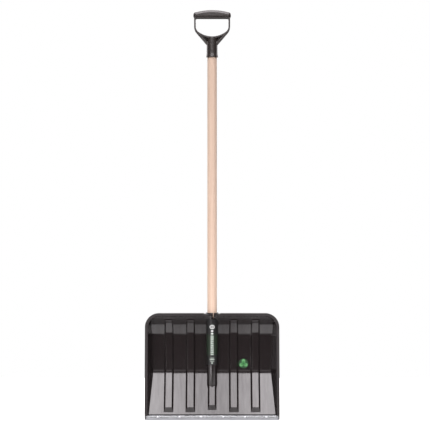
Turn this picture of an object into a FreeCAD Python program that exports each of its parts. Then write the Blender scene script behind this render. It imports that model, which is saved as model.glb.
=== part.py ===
"""Snow shovel: a moulded pan on a wooden shaft with a D-shaped grip.

Frame: +Z runs up the shaft, +X across the pan, and the working face looks towards -Y.
The origin is the middle of the flat bottom of the scraping edge. Lengths are in millimetres.
"""
import FreeCAD, Part
import math
import os

import Sketcher

SIZES = {
    # pan
    "pan_width": 450, "pan_height": 356, "pan_corner": 47, "wall": 3, "flange_width": 10,
    "wall_draft": 14.5, "rim_tilt": 6, "rim_front": 10, "pan_depth": 100,
    "floor_tilt": 25, "scoop_rise": 141, "scoop_radius": 60,
    "curl_radius": 66, "curl_drop": 80, "curl_lean": 40,
    "lip_tilt": 12, "lip_height": 20, "lip_overlap": 8,
    # ribs of the pan
    "rib_pitch": 72.7, "rib_width": 31, "centre_rib_width": 28, "rib_height": 10,
    "rib_side": 4.5, "rib_end": 27, "centre_rib_end": 34, "rib_end_lean": 12.5,
    "rib_curl_lift": 4, "rib_reach": 32,
    # socket of the pan
    "shaft_offset": 49, "socket_foot": 98, "socket_radius": 21.5, "socket_taper": 1.157,
    "socket_wall": 5.3, "socket_base": 12, "collar_width": 5, "collar_height": 10, "collar_drop": 13,
    "slit_width": 3, "slit_place": 4.5, "slit_depth": 18, "play": 0.2,
    # scraping edge
    "strip_height": 19, "strip_gauge": 1.5, "strip_fold": 3.5, "cheek": 3.8, "cheek_foot": 1.5,
    "rivet_radius": 2.5, "rivet_place": 12,
    # shaft
    "shaft_radius": 16, "tenon_step": 2, "tenon_length": 58,
    # grip
    "grip_base": 1216, "grip_height": 158, "grip_width": 121, "bar_width": 127,
    "bar_base": 130, "bar_end": 151, "bar_depth": 31, "bar_round": 9, "bar_corner": 9.5,
    "arm_gauge": 5.5, "arm_depth": 26, "arm_foot": 102, "arm_top": 139,
    "web_gauge": 4, "web_rim": 6, "web_foot_lift": 9,
    "opening_base": 69, "opening_corner": 22, "opening_top_corner": 4,
    "yoke_foot": 42, "yoke_corner": 30,
    "neck_wall": 4.3, "neck_top": 66, "neck_flare": 2, "neck_flare_height": 14,
    "bar_wall": 4, "bar_core_depth": 22, "bar_web_gauge": 3,
    # screws
    "screw_radius": 2.2, "screw_head_radius": 4.2, "screw_head_top": 3.4, "screw_head_height": 2.4,
    "screw_length": 22, "recess_width": 1.1, "recess_length": 4.6, "recess_depth": 1.2,
    "grip_screw_rise": 30, "socket_screw_drop": 40,
    # printed marks
    "film": 0.25, "label_drop": 21, "label_length": 154, "label_arc": 116,
    "sticker_side": 106, "sticker_lift": 16.5, "sticker_radius": 16.5,
}
OUTER_RIBS = (-2, -1, 1, 2)
RIVETS_EACH_SIDE = 3
BAR_WEBS = 4


class Size:
    """A number and the spreadsheet expression that gives it."""

    def __init__(self, value, text):
        self.value = value
        self.text = text

    def __add__(self, other):
        return Size(self.value + number(other), f"({self.text} + {words(other)})")

    def __radd__(self, other):
        return Size(number(other) + self.value, f"({words(other)} + {self.text})")

    def __sub__(self, other):
        return Size(self.value - number(other), f"({self.text} - {words(other)})")

    def __rsub__(self, other):
        return Size(number(other) - self.value, f"({words(other)} - {self.text})")

    def __mul__(self, other):
        return Size(self.value * number(other), f"({self.text} * {words(other)})")

    def __rmul__(self, other):
        return Size(number(other) * self.value, f"({words(other)} * {self.text})")

    def __truediv__(self, other):
        return Size(self.value / number(other), f"({self.text} / {words(other)})")

    def __rtruediv__(self, other):
        return Size(number(other) / self.value, f"({words(other)} / {self.text})")

    def __neg__(self):
        return Size(-self.value, f"(0 - {self.text})")


def number(size):
    return size.value if isinstance(size, Size) else float(size)


def words(size):
    return size.text if isinstance(size, Size) else repr(size)


def sine(angle):
    return Size(math.sin(math.radians(number(angle))), f"sin({words(angle)} * 1deg)")


def cosine(angle):
    return Size(math.cos(math.radians(number(angle))), f"cos({words(angle)} * 1deg)")


def tangent(angle):
    return Size(math.tan(math.radians(number(angle))), f"tan({words(angle)} * 1deg)")


def root(square):
    return Size(math.sqrt(number(square)), f"sqrt({words(square)})")


doc = FreeCAD.newDocument("snow_shovel")
sheet = doc.addObject("Spreadsheet::Sheet", "Sizes")
size = {}
for row, (alias, value) in enumerate(SIZES.items(), start=1):
    sheet.set(f"A{row}", alias)
    sheet.set(f"B{row}", str(value))
    sheet.setAlias(f"B{row}", alias)
    size[alias] = Size(float(value), f"Sizes.{alias}")
doc.recompute()


# ---------------------------------------------------------------- drawing helpers

def bind(thing, name, value, unit=""):
    """Set a property and, when the value comes from the sheet, tie it to its expression."""
    if "." not in name:
        setattr(thing, name, number(value))
    if isinstance(value, Size):
        thing.setExpression(name, value.text + unit)


def place(thing, base=(0, 0, 0), axis=(0, 0, 1), angle=0):
    """Put an object at a base point, turned by an angle about an axis."""
    spot = FreeCAD.Vector(*[number(part) for part in base])
    turn = FreeCAD.Rotation(FreeCAD.Vector(*axis), number(angle))
    thing.Placement = FreeCAD.Placement(spot, turn)
    for letter, part in zip("xyz", base):
        bind(thing, "Placement.Base." + letter, part)
    bind(thing, "Placement.Rotation.Angle", angle, " * 1deg")


def side_plane(thing, x=0):
    """A plane seen from the side: its own axes are Y and Z, and it faces +X."""
    place(thing, (x, 0, 0), (1, 1, 1), 120)


class Outline:
    """Straight and round stretches, one after another, from a first point."""

    def __init__(self, x, y):
        self.points = [(x, y)]
        self.rounds = []

    def line(self, x, y):
        self.points.append((x, y))
        self.rounds.append(None)
        return self

    def arc(self, x, y, radius, left=True):
        """A short arc to a point, turning left or right on the way."""
        self.points.append((x, y))
        self.rounds.append((radius, left))
        return self

    def arc_home(self, radius, left=True):
        """A short arc back to the first point."""
        self.points.append(self.points[0])
        self.rounds.append((radius, left))
        return self

    def draw(self, sketch, closed=True):
        """Add the stretches to a sketch, every point and radius tied to the sheet."""
        points = list(self.points)
        rounds = list(self.rounds)
        if closed and points[-1] is not points[0]:
            points.append(points[0])
            rounds.append(None)
        before = None
        for index, bend in enumerate(rounds):
            begin = FreeCAD.Vector(*[number(part) for part in points[index]], 0)
            end = FreeCAD.Vector(*[number(part) for part in points[index + 1]], 0)
            first, last = 1, 2
            if bend is None:
                edge = sketch.addGeometry(Part.LineSegment(begin, end), False)
            else:
                radius, left = bend
                edge = sketch.addGeometry(short_arc(begin, end, number(radius), left), False)
                if not left:
                    first, last = 2, 1
                self.fix(sketch, Sketcher.Constraint("Radius", edge, number(radius)), radius)
            self.pin(sketch, edge, first, points[index])
            if before is not None:
                sketch.addConstraint(Sketcher.Constraint("Coincident", *before, edge, first))
            else:
                opening = (edge, first)
            before = (edge, last)
        if closed:
            sketch.addConstraint(Sketcher.Constraint("Coincident", *before, *opening))
        else:
            self.pin(sketch, *before, points[-1])

    def pin(self, sketch, edge, end, point):
        """Hold one end of a stretch at a point of the sheet's sizes."""
        for kind, part in zip(("DistanceX", "DistanceY"), point):
            rule = Sketcher.Constraint(kind, -1, 1, edge, end, number(part))
            self.fix(sketch, rule, part)

    def fix(self, sketch, rule, value):
        index = sketch.addConstraint(rule)
        if isinstance(value, Size):
            sketch.renameConstraint(index, f"c{index}")
            sketch.setExpression(f"Constraints.c{index}", value.text)


def short_arc(begin, end, radius, left):
    """The arc of under half a turn between two points."""
    chord = end - begin
    reach = math.sqrt(max(radius * radius - chord.Length * chord.Length / 4, 0))
    aside = FreeCAD.Vector(-chord.y, chord.x, 0).normalize()
    if not left:
        aside = aside * -1
    centre = (begin + end) * 0.5 + aside * reach
    start = begin if left else end
    stop = end if left else begin
    circle = Part.Circle(centre, FreeCAD.Vector(0, 0, 1), radius)
    low = math.atan2(start.y - centre.y, start.x - centre.x)
    high = math.atan2(stop.y - centre.y, stop.x - centre.x)
    return Part.ArcOfCircle(circle, low, high)


def sketch_of(name, *outlines, closed=True):
    """A sketch of one or more outlines."""
    sketch = doc.addObject("Sketcher::SketchObject", name)
    for outline in outlines:
        outline.draw(sketch, closed)
    return sketch


def extrude(name, sketch, forward, back=0, draft=0):
    """A solid from a sketch, ahead of its plane and behind it."""
    solid = doc.addObject("Part::Extrusion", name)
    solid.Base = sketch
    solid.DirMode = "Normal"
    solid.Solid = True
    bind(solid, "LengthFwd", forward)
    bind(solid, "LengthRev", back)
    bind(solid, "TaperAngleRev", draft)
    return solid


def across(name, outline, half_width):
    """A solid whose side view is the outline, as wide on one side of X = 0 as on the other."""
    sketch = sketch_of(name + "_outline", outline)
    side_plane(sketch)
    return extrude(name, sketch, half_width, half_width)


def join(name, *shapes):
    solid = doc.addObject("Part::MultiFuse", name)
    solid.Shapes = list(shapes)
    solid.Refine = True
    return solid


def overlap(name, *shapes):
    solid = doc.addObject("Part::MultiCommon", name)
    solid.Shapes = list(shapes)
    return solid


def cut(name, base, tool):
    solid = doc.addObject("Part::Cut", name)
    solid.Base = base
    solid.Tool = tool
    return solid


def cylinder(name, radius, height, base, axis=(0, 0, 1), angle=0):
    solid = doc.addObject("Part::Cylinder", name)
    bind(solid, "Radius", radius)
    bind(solid, "Height", height)
    place(solid, base, axis, angle)
    return solid


def cone(name, low_radius, high_radius, height, base, axis=(0, 0, 1), angle=0):
    solid = doc.addObject("Part::Cone", name)
    bind(solid, "Radius1", low_radius)
    bind(solid, "Radius2", high_radius)
    bind(solid, "Height", height)
    place(solid, base, axis, angle)
    return solid


def block(name, length, width, height, base):
    solid = doc.addObject("Part::Box", name)
    bind(solid, "Length", length)
    bind(solid, "Width", width)
    bind(solid, "Height", height)
    place(solid, base)
    return solid


def finish(solid, label):
    """Give a finished sub-part its name."""
    solid.Label = label
    finished.append(solid)
    return solid


finished = []

# ---------------------------------------------------------------- shared places

half_pan = size["pan_width"] / 2
half_wall = size["wall"] / 2
tilt = size["floor_tilt"]
socket_radius = size["shaft_radius"] + size["play"] + size["socket_wall"]
socket_slope = tangent(size["socket_taper"])
bend = (size["lip_height"] * tangent(size["lip_tilt"]), size["lip_height"])


def tilted(base, along, out, lean):
    """Y and Z of a point that far up a leaning line from a base point and that far out from it."""
    return (base[0] + along * sine(lean) - out * cosine(lean),
            base[1] + along * cosine(lean) + out * sine(lean))


def on_lip(along, out):
    """A point on the lip, measured from the middle of its foot."""
    return tilted((0, 0), along, out, size["lip_tilt"])


def on_floor(along, out):
    """A point on the sloping floor, measured from the middle of its bend with the lip."""
    return tilted(bend, along, out, tilt)


def at_bend(out):
    """The corner of the bend between lip and floor, that far out from its middle."""
    half_turn = (tilt - size["lip_tilt"]) / 2
    return tilted(bend, 0, out / cosine(half_turn), (tilt + size["lip_tilt"]) / 2)


def rim_y(height):
    """Y of the rim's front face at a height."""
    return (height - size["strip_height"]) * tangent(size["rim_tilt"]) - size["rim_front"]


def socket_radius_at(height):
    return socket_radius - (size["pan_height"] - height) * socket_slope


scoop_along = (size["scoop_rise"] - bend[1] - half_wall * sine(tilt)) / cosine(tilt)
scoop_centre = on_floor(scoop_along, half_wall + size["scoop_radius"])
floor_y = scoop_centre[0] + size["scoop_radius"]
curl_rise = size["pan_height"] - size["curl_drop"]
shaft_foot = size["socket_foot"] + size["socket_base"]
grip_y = size["shaft_offset"]
tenon_radius = size["shaft_radius"] - size["tenon_step"]
neck_radius = tenon_radius + size["play"] + size["neck_wall"]
label_high = size["pan_height"] - size["label_drop"]
label_low = label_high - size["label_length"]
FAR = 60


# ---------------------------------------------------------------- screws

def screw_tool(name, seat_y, height):
    """The hole that a screw's shank and head fill, open to the back."""
    shank = cylinder(name + "_shank", size["screw_radius"], size["screw_length"],
                     (0, seat_y, height), (1, 0, 0), 90)
    sink = cylinder(name + "_sink", size["screw_head_radius"] + size["play"], FAR,
                    (0, seat_y, height), (1, 0, 0), -90)
    return join(name, shank, sink)


def screw(label, seat_y, height):
    """A wood screw driven in from the back, with a cross recess in its head."""
    shank = cylinder(label + "_shank", size["screw_radius"], size["screw_length"],
                     (0, seat_y, height), (1, 0, 0), 90)
    head = cone(label + "_head", size["screw_head_radius"], size["screw_head_top"],
                size["screw_head_height"], (0, seat_y, height), (1, 0, 0), -90)
    slot = size["recess_width"]
    reach = size["recess_length"]
    recess_y = seat_y + size["screw_head_height"] - size["recess_depth"]
    upright = block(label + "_upright", slot, size["screw_head_height"], reach,
                    (-(slot / 2), recess_y, height - reach / 2))
    level = block(label + "_level", reach, size["screw_head_height"], slot,
                  (-(reach / 2), recess_y, height - slot / 2))
    cross = join(label + "_cross", upright, level)
    return finish(cut(label + "_solid", join(label + "_blank", shank, head), cross), label)


socket_screw_z = size["pan_height"] - size["socket_screw_drop"]
socket_screw_y = grip_y + socket_radius_at(socket_screw_z) - size["screw_head_height"]
grip_screw_z = size["grip_base"] + size["grip_screw_rise"]
grip_screw_y = grip_y + neck_radius - size["screw_head_height"] / 2


# ---------------------------------------------------------------- pan

def rim_sketch(name, half_width, low, top, corner):
    """An arched outline drawn on the tilted plane of the rim's front face."""
    outline = Outline(-half_width, low)
    outline.line(half_width, low)
    outline.line(half_width, top - corner)
    outline.arc(half_width - corner, top, corner)
    outline.line(corner - half_width, top)
    outline.arc(-half_width, top - corner, corner)
    sketch = sketch_of(name, outline)
    place(sketch, (0, -size["rim_front"], size["strip_height"]), (1, 0, 0), 90 - size["rim_tilt"])
    return sketch


def scoop(name, grow):
    """Everything in front of the floor: sloping, then upright, then curling over at the top."""
    out = half_wall - grow
    curl = size["curl_radius"] + grow
    lean = size["curl_lean"]
    over_y = floor_y - size["curl_radius"] + curl * cosine(lean)
    over_z = curl_rise + curl * sine(lean)
    top = over_z + size["pan_depth"] * cosine(lean)
    outline = Outline(-size["pan_depth"], -size["pan_depth"])
    outline.line(*on_floor(-size["pan_depth"], out))
    outline.line(*on_floor(scoop_along, out))
    outline.arc(floor_y + grow, scoop_centre[1], size["scoop_radius"] + grow)
    outline.line(floor_y + grow, curl_rise)
    outline.arc(over_y, over_z, curl)
    outline.line(over_y - size["pan_depth"] * sine(lean), top)
    outline.line(-size["pan_depth"], top)
    return across(name, outline, half_pan)


def pan_hollow(name, grow):
    """The room inside the pan, or with the wall added all round, the pan's outside."""
    half_mouth = half_pan - size["flange_width"] + grow
    rim_cosine = cosine(size["rim_tilt"])
    top = (size["pan_height"] - size["flange_width"] - size["strip_height"]) / rim_cosine + grow
    corner = size["pan_corner"] - size["flange_width"] + grow
    mouth = rim_sketch(name + "_mouth", half_mouth, -size["pan_depth"], top, corner)
    drafted = extrude(name + "_drafted", mouth, 0, size["pan_depth"], -size["wall_draft"])
    return overlap(name, drafted, scoop(name + "_scoop", grow))


def rib_path():
    """The line up the floor and over with the curl that every rib follows."""
    curl = size["curl_radius"] + size["rib_height"]
    lean = size["curl_lean"]
    curl_z = curl_rise + size["rib_curl_lift"]
    over = (floor_y - curl + curl * cosine(lean), curl_z + curl * sine(lean))
    path = Outline(*on_floor(-size["lip_height"], half_wall))
    path.line(*on_floor(scoop_along, half_wall))
    path.arc(floor_y, scoop_centre[1], size["scoop_radius"])
    path.line(floor_y, curl_z)
    path.arc(*over, curl)
    path.line(over[0] - size["rib_reach"] * sine(lean), over[1] + size["rib_reach"] * cosine(lean))
    sketch = sketch_of("rib_path", path, closed=False)
    side_plane(sketch)
    return sketch


def rib_section(name, centre, width, high, low, inset):
    """A rib's drafted section at the foot of its path."""
    slope = size["rib_side"] / size["rib_height"]
    low_half = width / 2 - inset - low * slope
    high_half = width / 2 - inset - high * slope
    outline = Outline(centre - low_half, low)
    outline.line(centre + low_half, low)
    outline.line(centre + high_half, high)
    outline.line(centre - high_half, high)
    sketch = sketch_of(name, outline)
    place(sketch, (0, *on_floor(-size["lip_height"], half_wall)), (1, 0, 0), 180 - tilt)
    return sketch


def swept(name, section, path):
    sweep = doc.addObject("Part::Sweep", name)
    sweep.Sections = [section]
    sweep.Spine = (path, ["Edge1", "Edge2", "Edge3", "Edge4", "Edge5"])
    sweep.Solid = True
    sweep.Frenet = False
    return sweep


def rib_foot(name, height, inset):
    """What a rib loses below its leaning foot."""
    lean = size["rib_end_lean"]
    along = (height - bend[1] - half_wall * sine(tilt)) / cosine(tilt) + inset / sine(lean + tilt)
    foot_y, foot_z = on_floor(along, half_wall)
    ahead_y = foot_y - FAR * sine(lean)
    behind_y = foot_y + FAR * sine(lean)
    outline = Outline(behind_y, foot_z - FAR * cosine(lean))
    outline.line(ahead_y, foot_z + FAR * cosine(lean))
    outline.line(-size["pan_depth"], foot_z + FAR * cosine(lean))
    outline.line(-size["pan_depth"], foot_z - size["pan_depth"])
    outline.line(behind_y, foot_z - size["pan_depth"])
    return across(name, outline, half_pan)


def rib_head(name, inset):
    """What a rib loses where the curl would carry it out over the pan's mouth."""
    return block(name, size["pan_width"], size["pan_depth"], size["curl_drop"],
                 (-half_pan, floor_y - size["rib_reach"] + inset - size["pan_depth"], curl_rise))


def ribs(name, inset, low):
    """All five ribs, or with the wall taken off, the hollows behind them."""
    path = rib_path_sketch
    slope = size["rib_side"] / size["rib_height"]
    side = inset * root(1 + slope * slope)
    high = size["rib_height"] - inset
    head = rib_head(name + "_head", inset)
    sweeps = []
    for step in OUTER_RIBS:
        label = f"{name}_{'left' if step < 0 else 'right'}_{abs(step)}"
        section = rib_section(label + "_section", step * size["rib_pitch"], size["rib_width"],
                              high, low, side)
        sweeps.append(swept(label, section, path))
    outer_ends = join(name + "_outer_ends", rib_foot(name + "_outer_foot", size["rib_end"], inset), head)
    outer = cut(name + "_outer", join(name + "_outer_long", *sweeps), outer_ends)
    section = rib_section(name + "_centre_section", 0, size["centre_rib_width"], high, low, side)
    centre_ends = join(name + "_centre_ends",
                       rib_foot(name + "_centre_foot", size["centre_rib_end"], inset), head)
    centre = cut(name + "_centre", swept(name + "_centre_long", section, path), centre_ends)
    return outer, centre


def cheeks():
    """Plates at both ends of the scraping edge, from the rim back to the lip."""
    top_y, top_z = on_floor(size["lip_overlap"], -half_wall)
    outline = Outline(*on_lip(size["cheek_foot"], -half_wall))
    outline.line(*at_bend(-half_wall))
    outline.line(top_y, top_z)
    outline.line(rim_y(top_z), top_z)
    outline.line(rim_y(size["strip_height"]), size["strip_height"])
    outline.line(*on_lip(size["cheek_foot"], half_wall + size["strip_gauge"]))
    gauge = size["cheek"]
    solids = []
    for name, start in (("left", -half_pan), ("right", half_pan - gauge)):
        sketch = sketch_of(f"cheek_{name}_outline", outline)
        side_plane(sketch, start)
        solids.append(extrude(f"cheek_{name}", sketch, gauge))
    return solids


def rivet_holes(name):
    """One cylinder through the edge for each rivet."""
    depth = size["wall"] + 2 * size["strip_gauge"]
    foot = on_lip(size["rivet_place"], -(depth / 2))
    solids = []
    for side in (-1, 1):
        for step in range(RIVETS_EACH_SIDE):
            x = side * (step + 0.5) * size["rib_pitch"]
            label = f"{name}_{'left' if side < 0 else 'right'}_{step + 1}"
            solids.append(cylinder(label, size["rivet_radius"], depth, (x, *foot),
                                   (1, 0, 0), 90 - size["lip_tilt"]))
    return solids


rib_path_sketch = rib_path()
pan_middle = pan_hollow("pan_middle", half_wall)
rib_solids = [overlap("ribs_in_pan_" + name, rib, pan_middle)
              for name, rib in zip(("outer", "centre"), ribs("ribs", 0, -size["wall"]))]
rib_hollows = ribs("rib_hollows", size["wall"], -(size["wall"] + half_wall))

above_edge = block("above_edge", size["pan_width"], 2 * size["pan_depth"], size["pan_height"],
                   (-half_pan, -size["pan_depth"], size["strip_height"]))
pan_outside = overlap("pan_outside", pan_hollow("pan_wall", size["wall"]), above_edge)
flange_top = (size["pan_height"] - size["strip_height"]) / cosine(size["rim_tilt"])
flange = extrude("flange", rim_sketch("flange_outline", half_pan, 0, flange_top, size["pan_corner"]),
                 0, size["wall"])
lip_outline = Outline(*on_lip(size["strip_fold"], half_wall))
lip_outline.line(*on_lip(size["strip_fold"], -half_wall))
lip_outline.line(*at_bend(-half_wall))
lip_outline.line(*on_floor(size["lip_overlap"], -half_wall))
lip_outline.line(*on_floor(size["lip_overlap"], half_wall))
lip_outline.line(*at_bend(half_wall))
lip = across("lip", lip_outline, half_pan)

socket_height = size["pan_height"] - size["socket_foot"]
socket = cone("socket", socket_radius_at(size["socket_foot"]), socket_radius, socket_height,
              (0, grip_y, size["socket_foot"]))
bore_height = size["pan_height"] - shaft_foot
bore = cone("socket_bore", socket_radius_at(shaft_foot) - size["socket_wall"],
            socket_radius - size["socket_wall"], bore_height, (0, grip_y, shaft_foot))
collar_radius = socket_radius + size["collar_width"]
collar_foot = size["pan_height"] - size["collar_drop"]
collar = cylinder("collar", collar_radius, size["collar_height"], (0, grip_y, collar_foot))
saddle = block("saddle", 2 * collar_radius, 2 * size["pan_depth"], FAR,
               (-collar_radius, -size["pan_depth"], size["pan_height"] - size["flange_width"] / 2))
slit = block("slit", size["slit_width"], 2 * collar_radius - size["shaft_radius"] / 2, FAR,
             (size["slit_place"] - size["slit_width"] / 2, grip_y - 2 * collar_radius,
              size["pan_height"] - size["slit_depth"]))

tray = cut("tray", join("tray_outside", pan_outside, flange), pan_hollow("pan_room", 0))
tray_with_saddle = cut("tray_with_saddle", tray, saddle)
pan_edged = join("pan_edged", tray_with_saddle, lip, *cheeks())
pan_ribbed = join("pan_ribbed", pan_edged, *rib_solids)
pan_solid = join("pan_solid", pan_ribbed, join("socket_and_collar", socket, collar))
centre_hollow = cut("centre_hollow", rib_hollows[1], socket)
openings = join("pan_openings", rib_hollows[0], centre_hollow)
pan_hollowed = cut("pan_hollowed", pan_solid, openings)
pan_drilled = join("pan_drilling", bore, slit, *rivet_holes("lip_hole"),
                   screw_tool("socket_screw_hole", socket_screw_y, socket_screw_z))
blade = finish(cut("blade_solid", pan_hollowed, pan_drilled), "blade")


# ---------------------------------------------------------------- scraping edge

def strip():
    """A metal strip folded over the lip, with its fold dressed flat."""
    outer = half_wall + size["strip_gauge"]
    lean = size["lip_tilt"]
    top = size["strip_height"] / cosine(lean) - outer * tangent(lean)
    outline = Outline(*on_lip(-outer * tangent(lean), outer))
    outline.line(*on_lip(top, outer))
    outline.line(*on_lip(top, half_wall))
    outline.line(*on_lip(size["strip_fold"], half_wall))
    outline.line(*on_lip(size["strip_fold"], -half_wall))
    outline.line(*on_lip(top, -half_wall))
    outline.line(*on_lip(top, -outer))
    outline.line(*on_lip(outer * tangent(lean), -outer))
    return across("strip_blank", outline, half_pan - size["cheek"])


finish(cut("strip_solid", strip(), join("strip_holes", *rivet_holes("strip_hole"))), "edge_strip")
rivets = doc.addObject("Part::Compound", "rivet_set")
rivets.Links = rivet_holes("rivet")
finish(rivets, "edge_rivets")
screw("socket_screw", socket_screw_y, socket_screw_z)


# ---------------------------------------------------------------- shaft

def turned(name, outline):
    """A body turned about Z from an outline of radius and height."""
    body = doc.addObject("PartDesign::Body", name)
    plane = [item for item in body.Origin.OriginFeatures if item.Role == "XZ_Plane"][0]
    sketch = body.newObject("Sketcher::SketchObject", name + "_outline")
    sketch.AttachmentSupport = [(plane, "")]
    sketch.MapMode = "FlatFace"
    outline.draw(sketch)
    turn = body.newObject("PartDesign::Revolution", name + "_turning")
    turn.Profile = sketch
    turn.ReferenceAxis = (sketch, ["V_Axis"])
    turn.Angle = 360
    body.Tip = turn
    place(body, (0, grip_y, 0))
    return body


shaft_outline = Outline(0, shaft_foot)
shaft_outline.line(socket_radius_at(shaft_foot) - size["socket_wall"] - size["play"], shaft_foot)
shaft_outline.line(size["shaft_radius"], size["pan_height"])
shaft_outline.line(size["shaft_radius"], size["grip_base"])
shaft_outline.line(tenon_radius, size["grip_base"])
shaft_outline.line(tenon_radius, size["grip_base"] + size["tenon_length"])
shaft_outline.line(0, size["grip_base"] + size["tenon_length"])
shaft_holes = join("shaft_holes",
                   screw_tool("shaft_low_hole", socket_screw_y, socket_screw_z),
                   screw_tool("shaft_high_hole", grip_screw_y, grip_screw_z))
finish(cut("shaft_drilled", turned("shaft_turned", shaft_outline), shaft_holes), "shaft")


# ---------------------------------------------------------------- grip

def front_sketch(name, outline):
    """A sketch seen from the front, with its origin where the grip meets the shaft."""
    sketch = sketch_of(name, outline)
    place(sketch, (0, grip_y, size["grip_base"]), (1, 0, 0), 90)
    return sketch


def touch_point(start, centre, radius):
    """Where a line from a point touches a circle, passing it on the right."""
    run_x = centre[0] - start[0]
    run_z = centre[1] - start[1]
    square = run_x * run_x + run_z * run_z
    length = root(square - radius * radius)
    return (start[0] + length * (length * run_x + radius * run_z) / square,
            start[1] + length * (length * run_z - radius * run_x) / square)


def yoke_outline(shrink, lift, top):
    """The yoke's outside, or a smaller one inside it: diagonals up from the neck, then arms."""
    half = size["grip_width"] / 2
    corner = (half - size["yoke_corner"], size["arm_foot"])
    radius = size["yoke_corner"] - shrink
    foot = (neck_radius, size["yoke_foot"] + lift)
    touch = touch_point(foot, corner, radius)
    outline = Outline(foot[0], foot[1])
    outline.line(*touch)
    outline.arc(half - shrink, size["arm_foot"], radius)
    if top is not None:
        outline.line(half - shrink, top)
        outline.line(shrink - half, top)
    outline.line(shrink - half, size["arm_foot"])
    outline.arc(-touch[0], touch[1], radius)
    outline.line(-foot[0], foot[1])
    return outline


def opening_sizes():
    """Radius of the opening's wide lower curve, and where it meets the corner curve."""
    corner = size["opening_corner"]
    out = size["grip_width"] / 2 - size["arm_gauge"] - corner
    rise = size["arm_foot"] - size["opening_base"]
    radius = (out * out + rise * rise - corner * corner) / (2 * (rise - corner))
    meet_x = radius * out / (radius - corner)
    meet_z = size["opening_base"] + radius - radius * (radius - rise) / (radius - corner)
    return radius, meet_x, meet_z


def opening_outline():
    """The hand opening: a wide curve below, upright sides and a level top."""
    radius, meet_x, meet_z = opening_sizes()
    half = size["grip_width"] / 2 - size["arm_gauge"]
    corner = size["opening_top_corner"]
    outline = Outline(-meet_x, meet_z)
    outline.arc(meet_x, meet_z, radius)
    outline.arc(half, size["arm_foot"], size["opening_corner"])
    outline.line(half, size["bar_base"] - corner)
    outline.arc(half - corner, size["bar_base"], corner)
    outline.line(corner - half, size["bar_base"])
    outline.arc(-half, size["bar_base"] - corner, corner)
    outline.line(-half, size["arm_foot"])
    return outline.arc_home(size["opening_corner"])


def bar_outline(shrink):
    """The crossbar from the front: level below, crowned above."""
    half = size["bar_width"] / 2 - shrink
    corner = size["bar_corner"] - shrink
    low = size["bar_base"] + shrink
    end = size["bar_end"] - shrink
    crown = size["grip_height"] - size["bar_end"]
    reach = size["bar_width"] / 2 - size["bar_corner"]
    radius = (reach * reach + crown * crown) / (2 * crown) - shrink
    outline = Outline(-reach, low)
    outline.line(reach, low)
    outline.arc(half, low + corner, corner)
    outline.line(half, end - corner)
    outline.arc(reach, end, corner)
    outline.arc(-reach, end, radius)
    outline.arc(-half, end - corner, corner)
    outline.line(-half, low + corner)
    return outline.arc_home(corner)


def rounded_bar():
    """The crossbar with its front and back edges rounded over."""
    half_depth = size["bar_depth"] / 2
    blank = extrude("bar_blank", front_sketch("bar_outline", bar_outline(0)), half_depth, half_depth)
    doc.recompute()
    faces_y = (number(grip_y - half_depth), number(grip_y + half_depth))
    bar = doc.addObject("Part::Fillet", "bar_rounded")
    bar.Base = blank
    round_over = number(size["bar_round"])
    rounded = []
    for index, edge in enumerate(blank.Shape.Edges, start=1):
        box = edge.BoundBox
        if any(abs(box.YMin - y) < 0.01 and abs(box.YMax - y) < 0.01 for y in faces_y):
            rounded.append((index, round_over, round_over))
    bar.Edges = rounded
    return bar


half_arm = size["arm_depth"] / 2
yoke = extrude("yoke_plate", front_sketch("yoke_outline", yoke_outline(0, 0, size["arm_top"])),
               half_arm, half_arm)
hand_opening = extrude("hand_opening", front_sketch("hand_opening_outline", opening_outline()),
                       size["bar_depth"], size["bar_depth"])
recess_outline = yoke_outline(size["web_rim"], size["web_foot_lift"], None)
recess_blank = extrude("recess_blank", front_sketch("recess_outline", recess_outline),
                       size["arm_depth"], size["arm_depth"])
opening_radius = opening_sizes()[0]
opening_centre_z = size["grip_base"] + size["opening_base"] + opening_radius
opening_rim = cylinder("opening_rim", opening_radius + size["web_rim"], 2 * size["arm_depth"],
                       (0, grip_y + size["arm_depth"], opening_centre_z), (1, 0, 0), 90)
web = block("web", size["grip_width"], size["web_gauge"], size["grip_height"],
            (-(size["grip_width"] / 2), grip_y - size["web_gauge"] / 2, size["grip_base"]))
recess = cut("recess", cut("recess_below", recess_blank, opening_rim), web)

neck = cylinder("neck", neck_radius, size["neck_top"], (0, grip_y, size["grip_base"]))
flare = cone("neck_flare", neck_radius + size["neck_flare"], neck_radius,
             size["neck_flare_height"], (0, grip_y, size["grip_base"]))
tenon_hole = cylinder("tenon_hole", tenon_radius + size["play"],
                      size["tenon_length"] + size["play"], (0, grip_y, size["grip_base"]))

core_blank = extrude("bar_core_blank", front_sketch("bar_core_outline", bar_outline(size["bar_wall"])), 0,
                     size["bar_depth"])
core_start = block("bar_core_start", size["bar_width"], size["bar_depth"], size["grip_height"],
                   (-(size["bar_width"] / 2), grip_y + size["bar_depth"] / 2 - size["bar_core_depth"],
                    size["grip_base"]))
core_room = overlap("bar_core_room", core_blank, core_start)
bar_webs = []
for step in range(BAR_WEBS):
    web_x = (step - (BAR_WEBS - 1) / 2) * size["bar_width"] / (BAR_WEBS + 1) - size["bar_web_gauge"] / 2
    bar_webs.append(block(f"bar_web_{step + 1}", size["bar_web_gauge"], size["bar_depth"],
                          size["grip_height"], (web_x, grip_y - size["bar_depth"] / 2, size["grip_base"])))
core = cut("bar_core", core_room, join("bar_webs", *bar_webs))

yoke_open = cut("yoke_open", cut("yoke_recessed", yoke, recess), hand_opening)
grip_blank = join("grip_blank", yoke_open, rounded_bar(), neck, flare)
grip_tools = join("grip_tools", tenon_hole, core, screw_tool("grip_screw_hole", grip_screw_y, grip_screw_z))
finish(cut("grip_solid", grip_blank, grip_tools), "d_grip")
screw("grip_screw", grip_screw_y, grip_screw_z)


# ---------------------------------------------------------------- printed marks

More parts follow.
